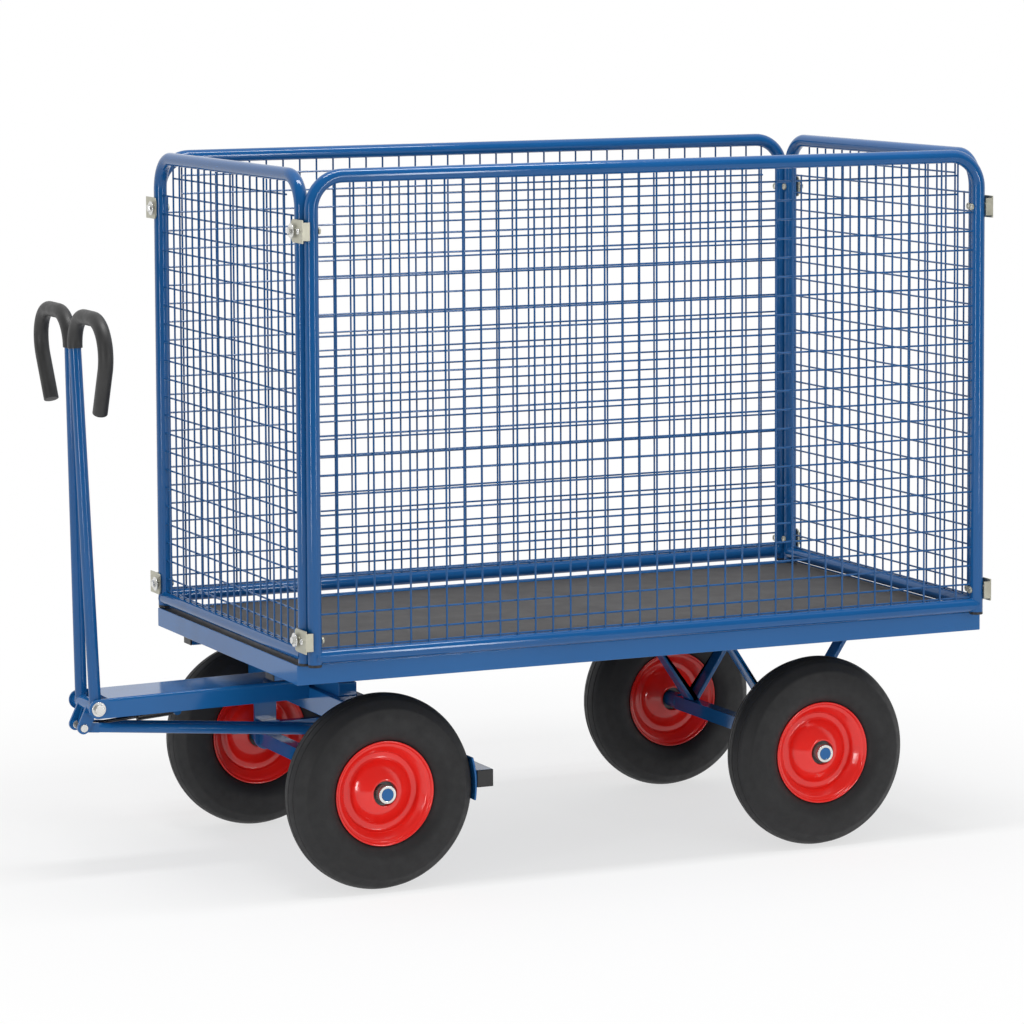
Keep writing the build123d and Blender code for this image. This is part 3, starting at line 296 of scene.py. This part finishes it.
# Making pieces
def make_piece(name, bm, finish, body, nodes=(), smooth_angle=35):
    """Turn a bmesh into a piece that rides on a body and stands for CAD nodes."""
    mesh = bpy.data.meshes.new(name)
    bm.to_mesh(mesh)
    bm.free()
    mesh.shade_smooth()
    mesh.set_sharp_from_angle(angle=math.radians(smooth_angle))
    mesh.materials.append(finish)
    piece = link(bpy.data.objects.new(name, mesh))
    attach(piece, body)
    if nodes:
        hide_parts(*nodes)
    return piece


def close_mesh(bm):
    """Merge doubled points and turn every face outwards."""
    bmesh.ops.remove_doubles(bm, verts=bm.verts, dist=1e-6)
    bmesh.ops.recalc_face_normals(bm, faces=bm.faces)


def axis_frame(origin, direction):
    """Return a matrix at origin whose Z axis points along direction."""
    return Matrix.Translation(origin) @ Vector(direction).to_track_quat("Z", "Y").to_matrix().to_4x4()


def bar(bm, start, end, radius, sides):
    """Add a round bar between two points."""
    start, end = Vector(start), Vector(end)
    bmesh.ops.create_cone(
        bm, cap_ends=True, segments=sides, radius1=radius, radius2=radius, depth=(end - start).length,
        matrix=axis_frame((start + end) / 2, end - start),
    )


def start_loop(bm, origin, direction, radius, sides):
    """Add a ring of edges square to a direction and return its edges."""
    ring = bmesh.ops.create_circle(bm, segments=sides, radius=radius, matrix=axis_frame(origin, direction))
    return list({edge for vert in ring["verts"] for edge in vert.link_edges})


def run_on(bm, edges, vector):
    """Draw a ring of edges out along a straight run and return the new ring."""
    made = bmesh.ops.extrude_edge_only(bm, edges=edges)["geom"]
    verts = {item for item in made if isinstance(item, bmesh.types.BMVert)}
    bmesh.ops.translate(bm, verts=list(verts), vec=vector)
    return [item for item in made if isinstance(item, bmesh.types.BMEdge) and set(item.verts) <= verts]


def bend_on(bm, edges, centre, axis, angle, steps):
    """Turn a ring of edges round a bend and return the new ring."""
    swept = bmesh.ops.spin(
        bm, geom=edges, cent=centre, axis=axis, angle=angle, steps=steps, use_merge=False,
        use_duplicate=False,
    )
    return [item for item in swept["geom_last"] if isinstance(item, bmesh.types.BMEdge)]


def bent_tube(bm, points, bends, radius, sides, from_bend=False, steps=14):
    """Add a capped tube through the points with a round bend at each inner one.

    from_bend leaves out the first straight run. The last ring's edges are returned.
    """
    points = [Vector(point) for point in points]
    at = points[0]
    edges = None if from_bend else start_loop(bm, at, points[1] - at, radius, sides)
    first = edges
    for index, bend in enumerate(bends, 1):
        back = (points[index - 1] - points[index]).normalized()
        ahead = (points[index + 1] - points[index]).normalized()
        half = back.angle(ahead) / 2
        reach = bend / math.tan(half)
        entry = points[index] + back * reach
        centre = points[index] + (back + ahead).normalized() * (bend / math.sin(half))
        axis = (-back).cross(ahead).normalized()
        if edges is None:
            edges = first = start_loop(bm, entry, -back, radius, sides)
        else:
            edges = run_on(bm, edges, entry - at)
        edges = bend_on(bm, edges, centre, axis, math.pi - 2 * half, steps)
        at = points[index] + ahead * reach
    edges = run_on(bm, edges, points[-1] - at)
    for ring in (first, edges):
        bmesh.ops.edgeloop_fill(bm, edges=ring)
    return edges


def saddle_bead(bm, origin, along, other_axis, radius, other_radius, bead):
    """Add a weld bead where a round bar along one axis meets the round of another bar."""
    along = Vector(along).normalized()
    across = along.cross(Vector(other_axis)).normalized()
    matrix = axis_frame(origin, along)
    ring = bmesh.ops.create_circle(
        bm, segments=8, radius=bead,
        matrix=matrix @ Matrix.Translation((radius, 0, 0)) @ Matrix.Rotation(math.pi / 2, 4, "X"),
    )
    edges = list({edge for vert in ring["verts"] for edge in vert.link_edges})
    before = set(bm.verts) - set(ring["verts"])
    bmesh.ops.spin(bm, geom=edges, cent=origin, axis=along, angle=2 * math.pi, steps=32, use_merge=True)
    for vert in set(bm.verts) - before:
        aside = min(abs((vert.co - Vector(origin)).dot(across)), other_radius)
        vert.co += along * math.sqrt(other_radius**2 - aside**2)


def turned(bm, origin, axis, outline, closed=False, steps=24):
    """Add a solid spun about an axis, from an outline of (radius, along, rounding) points."""
    before = set(bm.verts)
    matrix = axis_frame(origin, axis)
    verts = [bm.verts.new(matrix @ Vector((radius, 0.0, along))) for radius, along, _ in outline]
    pairs = list(zip(verts, verts[1:]))
    if closed:
        pairs.append((verts[-1], verts[0]))
    for first, second in pairs:
        bm.edges.new((first, second))
    for vert, (_, _, rounding) in zip(verts, outline):
        if rounding:
            bmesh.ops.bevel(
                bm, geom=[vert], offset=rounding, segments=3 if rounding < FINE_ROUNDING else 8,
                profile=0.5, affect="VERTICES", material=-1, clamp_overlap=True,
            )
    line = {edge for vert in set(bm.verts) - before for edge in vert.link_edges}
    bmesh.ops.spin(
        bm, geom=list(line), cent=origin, axis=axis, angle=2 * math.pi, steps=steps, use_merge=True,
    )


def softened(node, width):
    """Stand a copy of a CAD node, with rounded edges and even flats, in for the node."""
    bm = bmesh.new()
    bm.from_mesh(frame["nodes"][node].data)
    bmesh.ops.remove_doubles(bm, verts=bm.verts, dist=1e-6)
    bmesh.ops.dissolve_limit(
        bm, angle_limit=FLAT_ANGLE, use_dissolve_boundaries=False, verts=bm.verts, edges=bm.edges,
        delimit={"NORMAL"},
    )
    sharp = [edge for edge in bm.edges if edge.is_manifold and edge.calc_face_angle(0.0) > SHARP_ANGLE]
    bmesh.ops.bevel(
        bm, geom=sharp, offset=width, offset_type="OFFSET", segments=EDGE_STEPS, profile=0.5, affect="EDGES",
        material=-1, clamp_overlap=True,
    )
    slot = NODE_SLOT[node]
    finish = NODE_FINISH.get(node, SLOT_FINISH[slot])
    piece = make_piece(f"{node}_rounded", bm, finish, NODE_BODY[node], [node])
    flats = piece.modifiers.new("flat_faces", "WEIGHTED_NORMAL")
    flats.weight = 100
    flats.keep_sharp = True


# Walls
def wall_pieces(name, place, half_span, columns, pitch, short_rows, cut_uprights):
    """Make one wall: its welded tube frame and its welded wires.

    place turns (along, height, outwards) into a point of the frame. The short rows end before the
    tube's bends. The cut uprights, outermost at each side, end at the first full row.
    """
    bm = bmesh.new()
    corners = [
        place(-half_span, FOOT_Z, 0), place(-half_span, TOP_TUBE_Z, 0),
        place(half_span, TOP_TUBE_Z, 0), place(half_span, FOOT_Z, 0),
    ]
    bent_tube(bm, corners, [TUBE_BEND, TUBE_BEND], TUBE_RADIUS, TUBE_SIDES)
    bar(bm, place(-half_span, RAIL_Z, 0), place(half_span, RAIL_Z, 0), TUBE_RADIUS, TUBE_SIDES)
    close_mesh(bm)
    make_piece(f"{name}_wall_tubes", bm, SHADED_TUBE_BLUE, "chassis", [f"{name}_wall_frame"])

    bm = bmesh.new()
    along = place(1, 0, 0) - place(0, 0, 0)
    for side in (-1, 1):
        foot = place(side * half_span, RAIL_Z, 0)
        saddle_bead(bm, foot, along * -side, (0, 0, 1), TUBE_RADIUS, TUBE_RADIUS, WALL_BEAD)
    close_mesh(bm)
    make_piece(f"{name}_wall_welds", bm, SHADED_TUBE_BLUE, "chassis")

    bm = bmesh.new()
    outer = pitch * (columns - 1) / 2
    for column in range(columns):
        at = column * pitch - outer
        past_bend = abs(at) - (half_span - TUBE_BEND)
        top = TOP_TUBE_Z - WIRE_SINK
        if min(column, columns - 1 - column) < cut_uprights:
            top = MESH_TOP_Z - short_rows * MESH_PITCH_Z + WIRE_RADIUS
        elif past_bend > 0:
            top = TOP_TUBE_Z - TUBE_BEND + math.sqrt((TUBE_BEND - WIRE_SINK) ** 2 - past_bend**2)
        foot = place(at, RAIL_Z + WIRE_SINK, WIRE_LAYER)
        bar(bm, foot, place(at, top, WIRE_LAYER), WIRE_RADIUS, WIRE_SIDES)
    rows = [MESH_TOP_Z - row * MESH_PITCH_Z for row in range(MESH_ROWS)] + [EDGE_ROW_Z]
    for row, z in enumerate(rows):
        reach = half_span - WIRE_SINK
        if row < short_rows:
            reach = outer - cut_uprights * pitch + WIRE_RADIUS
        bar(bm, place(-reach, z, -WIRE_LAYER), place(reach, z, -WIRE_LAYER), WIRE_RADIUS, WIRE_SIDES)
    make_piece(f"{name}_wall_wires", bm, WIRE_BLUE, "chassis", [f"{name}_wall_mesh"])


for wall, side in (("left", 1), ("right", -1)):
    wall_pieces(
        wall, lambda along, z, out, side=side: Vector((MIDDLE_X + along, side * (SIDE_WALL_Y + out), z)),
        SIDE_LEG_X, **SIDE_MESH,
    )
for wall, end in (("front", 1), ("rear", -1)):
    wall_pieces(
        wall, lambda along, z, out, end=end: Vector((MIDDLE_X + end * (END_WALL_X + out), along, z)),
        END_LEG_Y, **END_MESH,
    )

# Wheels
WHEEL_STEPS = 128
TYRE_RADIUS = 0.200
CROWN_DROP = 0.010
CROWN_HALF = 0.030
GROOVES = (0.021, 0.006)
GROOVE_HALF = 0.0016
GROOVE_FLOOR_HALF = GROOVE_HALF * 0.6
GROOVE_DEPTH = 0.0016
GROOVE_LIP = 0.0004
GROOVE_ROUNDING = 0.0003


def mirrored(half):
    """Return a closed outline from its outer half."""
    return half + [(radius, -across, rounding) for radius, across, rounding in reversed(half)]


TYRE_HALF = [
    (0.1005, 0.0270, 0.0005), (0.1080, 0.0312, 0.0010), (0.1105, 0.0352, 0.0010),
    (0.1218, 0.0500, 0.0180), (0.1500, 0.0502, 0.0200), (0.1735, 0.0440, 0.0030), (0.1900, 0.0300, 0.0030),
]
for across in GROOVES:
    crown = TYRE_RADIUS - CROWN_DROP * (across / CROWN_HALF) ** 2
    TYRE_HALF += [
        (crown - GROOVE_LIP, across + GROOVE_HALF, GROOVE_LIP),
        (crown - GROOVE_DEPTH, across + GROOVE_FLOOR_HALF, GROOVE_ROUNDING),
        (crown - GROOVE_DEPTH, across - GROOVE_FLOOR_HALF, GROOVE_ROUNDING),
        (crown, across - GROOVE_HALF, GROOVE_LIP),
    ]
RIM_HALF = [
    (0.0837, 0.0020, 0.0), (0.0850, 0.0090, 0.0040), (0.1010, 0.0280, 0.0020), (0.1070, 0.0310, 0.0010),
    (0.1070, 0.0345, 0.0014), (0.1038, 0.0345, 0.0014), (0.1005, 0.0290, 0.0016), (0.0960, 0.0278, 0.0030),
    (0.0820, 0.0120, 0.0030),
    (0.0805, 0.0050, 0.0030), (0.0670, 0.0050, 0.0040), (0.0517, 0.0246, 0.0200), (0.0290, 0.0350, 0.0010),
    (0.0255, 0.0350, 0.0008),
]

for end, x in AXLES.items():
    for side, y in WHEEL_SIDES.items():
        centre = Vector((x, y, AXLE_Z))
        wheel = f"{end}_{side}"
        body = f"{wheel}_wheel"
        bm = bmesh.new()
        turned(bm, centre, (0, 1, 0), mirrored(TYRE_HALF), closed=True, steps=WHEEL_STEPS)
        close_mesh(bm)
        make_piece(
            f"{wheel}_tyre_moulded", bm, RUBBER, body, [f"{wheel}_tyre"], smooth_angle=50,
        )
        bm = bmesh.new()
        turned(bm, centre, (0, 1, 0), mirrored(RIM_HALF), closed=True, steps=WHEEL_STEPS)
        close_mesh(bm)
        make_piece(f"{wheel}_rim_pressed", bm, RED, body, [f"{wheel}_rim"], smooth_angle=50)

# Tiller
lean = Matrix.Translation(PIVOT) @ Matrix.Rotation(TILLER_LEAN, 4, "Y")
for side, sign in (("left", 1), ("right", -1)):
    path = [lean @ Vector((0.0, sign * y, z)) for y, z in TILLER_PATH]
    rise = (path[1] - path[0]).normalized()
    last = (path[-1] - path[-2]).normalized()
    bm = bmesh.new()
    bent_tube(bm, [path[0] + rise * TILLER_FOOT] + path[1:], TILLER_BENDS, TILLER_RADIUS, sides=28)
    close_mesh(bm)
    make_piece(f"{side}_tiller_bent_tube", bm, SHADED_TUBE_BLUE, "tiller", [f"{side}_tiller_tube"])
    bm = bmesh.new()
    saddle_bead(bm, path[0], rise, (0, 1, 0), TILLER_RADIUS, CROSS_TUBE_RADIUS, TILLER_BEAD)
    close_mesh(bm)
    make_piece(f"{side}_tiller_weld", bm, SHADED_TUBE_BLUE, "tiller")
    bm = bmesh.new()
    rim = bent_tube(
        bm, path[:-1] + [path[-1] + last * GRIP_CAP], TILLER_BENDS, GRIP_RADIUS, TUBE_SIDES, from_bend=True,
    )
    bmesh.ops.bevel(
        bm, geom=rim, offset=GRIP_EDGE, offset_type="OFFSET", segments=3, profile=0.5, affect="EDGES",
        material=-1, clamp_overlap=True,
    )
    cut = bmesh.ops.bisect_plane(
        bm, geom=bm.verts[:] + bm.edges[:] + bm.faces[:], plane_co=(0, sign * GRIP_GAP, 0),
        plane_no=(0, -sign, 0), clear_outer=True,
    )
    rims = [item for item in cut["geom_cut"] if isinstance(item, bmesh.types.BMEdge)]
    bmesh.ops.edgeloop_fill(bm, edges=rims)
    close_mesh(bm)
    make_piece(f"{side}_soft_grip", bm, GRIP, "tiller", [f"{side}_grip"])

# Corner brackets' bolts: a cupped washer on a collar at the end legs, a round socket head at the side legs
END_BOLT = [
    (0.0, -0.0340, 0.0), (0.0040, -0.0340, 0.0006), (0.0040, 0.0, 0.0), (0.0080, 0.0, 0.0005),
    (0.0080, 0.0050, 0.0), (0.0150, 0.0050, 0.0004), (0.0150, 0.0065, 0.0004), (0.0110, 0.0070, 0.0),
    (0.0, 0.0070, 0.0),
]
SIDE_BOLT = [
    (0.0, -0.0435, 0.0), (0.0040, -0.0435, 0.0006), (0.0040, 0.0, 0.0), (0.0060, 0.0, 0.0004),
    (0.0058, 0.0035, 0.0020), (0.0031, 0.0045, 0.0003), (0.0029, 0.0005, 0.0), (0.0, 0.0005, 0.0),
]
bm = bmesh.new()
for end in (-1, 1):
    for side in (-1, 1):
        for z in BOLT_LEVELS:
            place = Vector((MIDDLE_X + end * PLATE_X, side * END_LEG_Y, z))
            turned(bm, place, (end, 0, 0), END_BOLT)
            bmesh.ops.create_cone(
                bm, cap_ends=True, segments=6, radius1=HEX_RADIUS, radius2=HEX_RADIUS, depth=HEX_HEIGHT,
                matrix=axis_frame(place + Vector((end * HEX_MIDDLE, 0, 0)), (end, 0, 0)),
            )
            turned(bm, Vector((place.x, side * SIDE_WALL_Y, z)), (end, 0, 0), SIDE_BOLT)
close_mesh(bm)
make_piece("corner_bracket_bolts", bm, BRIGHT_ZINC, "chassis", ["bracket_bolts"])

# Nodes that keep their CAD shape, with edges rounded as bent and ground steel is
SOFT_EDGES = {
    "platform_frame": 0.0018, "deck_board": 0.0008, "left_chassis_beam": 0.0025,
    "right_chassis_beam": 0.0025, "chassis_beam_caps": 0.0010, "rear_axle": 0.0020,
    "left_rear_strut": 0.0020, "right_rear_strut": 0.0020, "turntable_carrier": 0.0010,
    "front_cross_member": 0.0025, "left_post": 0.0010, "right_post": 0.0010, "front_axle": 0.0020,
    "brake_guides": 0.0008, "drawbar": 0.0025, "spring_bracket": 0.0006, "brake_arms": 0.0015,
    "brake_caps": 0.0012, "brake_beam": 0.0020, "brake_shoes": 0.0006, "corner_brackets": 0.0012,
    "bracket_nuts": 0.0004, "pivot_bolt_and_nut": 0.0006, "front_axle_rings": 0.0010,
    "rear_axle_rings": 0.0010, "tiller_cross_tube": 0.0008, "wall_leg_plugs": 0.0006,
    "lever_pins": 0.0008, "rod_rear_pins": 0.0008,
}
for node, width in SOFT_EDGES.items():
    softened(node, width)
for node, slot in NODE_SLOT.items():
    body = frame["nodes"][node]
    body.data.materials.clear()
    body.data.materials.append(SLOT_FINISH[slot])

# Floor, light and camera
FLOOR_COLOUR = (0.86, 0.86, 0.86, 1)
FLOOR_DROP = 0.0005
FLOOR_REACH = 7.0
FLOOR_CLEAR = 0.9
FLOOR_WHITE = 2.1
FLOOR_VEIL = 0.66
SKY_LIGHT = 0.62
DIM_SIDE = (0.385, 0.923, 0.0)
DIM_GLOW = 0.12
DIM_EDGE = 0.3


def seen_rays(tree):
    """Return 1 for rays that show the backdrop: seen direct, mirrored or through a clear surface."""
    rays = tree.nodes.new("ShaderNodeLightPath")
    value = rays.outputs["Is Camera Ray"]
    for kind in ("Is Glossy Ray", "Is Transmission Ray"):
        either = tree.nodes.new("ShaderNodeMath")
        either.operation = "MAXIMUM"
        tree.links.new(value, either.inputs[0])
        tree.links.new(rays.outputs[kind], either.inputs[1])
        value = either.outputs["Value"]
    return value


def floor_finish():
    """Pale matt floor that keeps the shadow and fades to white away from the trolley."""
    material = bpy.data.materials.new("pale_floor")
    material.use_nodes = True
    tree = material.node_tree
    tree.nodes.clear()
    output = tree.nodes.new("ShaderNodeOutputMaterial")
    matt = tree.nodes.new("ShaderNodeBsdfDiffuse")
    matt.inputs["Color"].default_value = FLOOR_COLOUR
    white = tree.nodes.new("ShaderNodeEmission")
    place = tree.nodes.new("ShaderNodeTexCoord")
    length = tree.nodes.new("ShaderNodeVectorMath")
    length.operation = "LENGTH"
    tree.links.new(place.outputs["Object"], length.inputs[0])
    fade = tree.nodes.new("ShaderNodeMapRange")
    fade.interpolation_type = "SMOOTHSTEP"
    fade.inputs["From Min"].default_value = FLOOR_CLEAR
    fade.inputs["From Max"].default_value = FLOOR_WHITE
    fade.inputs["To Min"].default_value = FLOOR_VEIL
    tree.links.new(length.outputs["Value"], fade.inputs["Value"])
    seen = tree.nodes.new("ShaderNodeMath")
    seen.operation = "MULTIPLY"
    tree.links.new(fade.outputs["Result"], seen.inputs[0])
    tree.links.new(seen_rays(tree), seen.inputs[1])
    mix = tree.nodes.new("ShaderNodeMixShader")
    tree.links.new(seen.outputs["Value"], mix.inputs["Fac"])
    tree.links.new(matt.outputs["BSDF"], mix.inputs[1])
    tree.links.new(white.outputs["Emission"], mix.inputs[2])
    tree.links.new(mix.outputs["Shader"], output.inputs["Surface"])
    return material


bm = bmesh.new()
bmesh.ops.create_circle(bm, cap_ends=True, segments=64, radius=FLOOR_REACH)
floor_mesh = bpy.data.meshes.new("floor")
bm.to_mesh(floor_mesh)
bm.free()
floor_mesh.materials.append(floor_finish())
floor = link(bpy.data.objects.new("floor", floor_mesh))
floor.location.z = -FLOOR_DROP

world = bpy.data.worlds.new("studio")
world.use_nodes = True
bpy.context.scene.world = world
sky_tree = world.node_tree
sky = sky_tree.nodes["Background"]
sky.inputs["Color"].default_value = (1.0, 1.0, 1.0, 1)


def room_glow(tree):
    """Return the room's brightness by direction: white backdrop on one side, dim studio on the other."""
    way = tree.nodes.new("ShaderNodeTexCoord").outputs["Generated"]
    towards = tree.nodes.new("ShaderNodeVectorMath")
    towards.operation = "DOT_PRODUCT"
    towards.inputs[1].default_value = DIM_SIDE
    tree.links.new(way, towards.inputs[0])
    glow = tree.nodes.new("ShaderNodeMapRange")
    glow.interpolation_type = "SMOOTHSTEP"
    glow.inputs["From Min"].default_value = 0.0
    glow.inputs["From Max"].default_value = DIM_EDGE
    glow.inputs["To Min"].default_value = 1.0
    glow.inputs["To Max"].default_value = DIM_GLOW
    tree.links.new(towards.outputs["Value"], glow.inputs["Value"])
    return glow.outputs["Result"]


rays = sky_tree.nodes.new("ShaderNodeLightPath")
mirrored_sky = sky_tree.nodes.new("ShaderNodeMapRange")
mirrored_sky.inputs["To Min"].default_value = SKY_LIGHT
sky_tree.links.new(rays.outputs["Is Glossy Ray"], mirrored_sky.inputs["Value"])
sky_tree.links.new(room_glow(sky_tree), mirrored_sky.inputs["To Max"])
seen_sky = sky_tree.nodes.new("ShaderNodeMath")
seen_sky.operation = "MAXIMUM"
sky_tree.links.new(rays.outputs["Is Camera Ray"], seen_sky.inputs[0])
sky_tree.links.new(rays.outputs["Is Transmission Ray"], seen_sky.inputs[1])
sky_strength = sky_tree.nodes.new("ShaderNodeMapRange")
sky_strength.inputs["To Max"].default_value = 1.0
sky_tree.links.new(seen_sky.outputs["Value"], sky_strength.inputs["Value"])
sky_tree.links.new(mirrored_sky.outputs["Result"], sky_strength.inputs["To Min"])
sky_tree.links.new(sky_strength.outputs["Result"], sky.inputs["Strength"])


def area_light(name, place, target, width, height, power):
    """Add a soft lamp aimed at a point."""
    lamp = bpy.data.lights.new(name, "AREA")
    lamp.shape = "RECTANGLE"
    lamp.size = width
    lamp.size_y = height
    lamp.energy = power
    light = link(bpy.data.objects.new(name, lamp))
    light.location = place
    light.rotation_euler = (Vector(target) - Vector(place)).to_track_quat("-Z", "Y").to_euler()


area_light("overhead", (0.0, 0.9, 4.4), target=(0.0, 0.1, 0.5), width=3.0, height=0.6, power=100)
area_light("front_strip", (4.6, 2.6, 1.1), target=(0.0, 0.0, 0.7), width=0.4, height=2.0, power=44)
area_light("side_strip", (-1.7, 5.0, 1.1), target=(0.0, 0.0, 0.7), width=0.4, height=2.0, power=40)

CAMERA_PLACE = Vector((MIDDLE_X + 3.80597, 7.87992, 1.90026))
CAMERA_TURN = math.radians(157.35)
CAMERA_RISE = math.radians(4.83)
CAMERA_ROLL = math.radians(-0.46)
CAMERA_LENS = 144.99
CAMERA_SHIFT = (0.168, -0.2142)
level = math.cos(CAMERA_RISE)
back = Vector((math.sin(CAMERA_TURN) * level, -math.cos(CAMERA_TURN) * level, math.sin(CAMERA_RISE)))
right = Vector((0, 0, 1)).cross(back).normalized()
up = back.cross(right)
rolled_right = right * math.cos(CAMERA_ROLL) + up * math.sin(CAMERA_ROLL)
rolled_up = up * math.cos(CAMERA_ROLL) - right * math.sin(CAMERA_ROLL)
camera_data = bpy.data.cameras.new("camera")
camera_data.sensor_width = 36.0
camera_data.lens = CAMERA_LENS
camera_data.shift_x, camera_data.shift_y = CAMERA_SHIFT
camera_data.clip_end = 100.0
camera = link(bpy.data.objects.new("camera", camera_data))
turn = Matrix((rolled_right, rolled_up, back)).transposed().to_4x4()
camera.matrix_world = Matrix.Translation(CAMERA_PLACE) @ turn
bpy.context.scene.camera = camera
bpy.context.scene.view_settings.view_transform = "Standard"
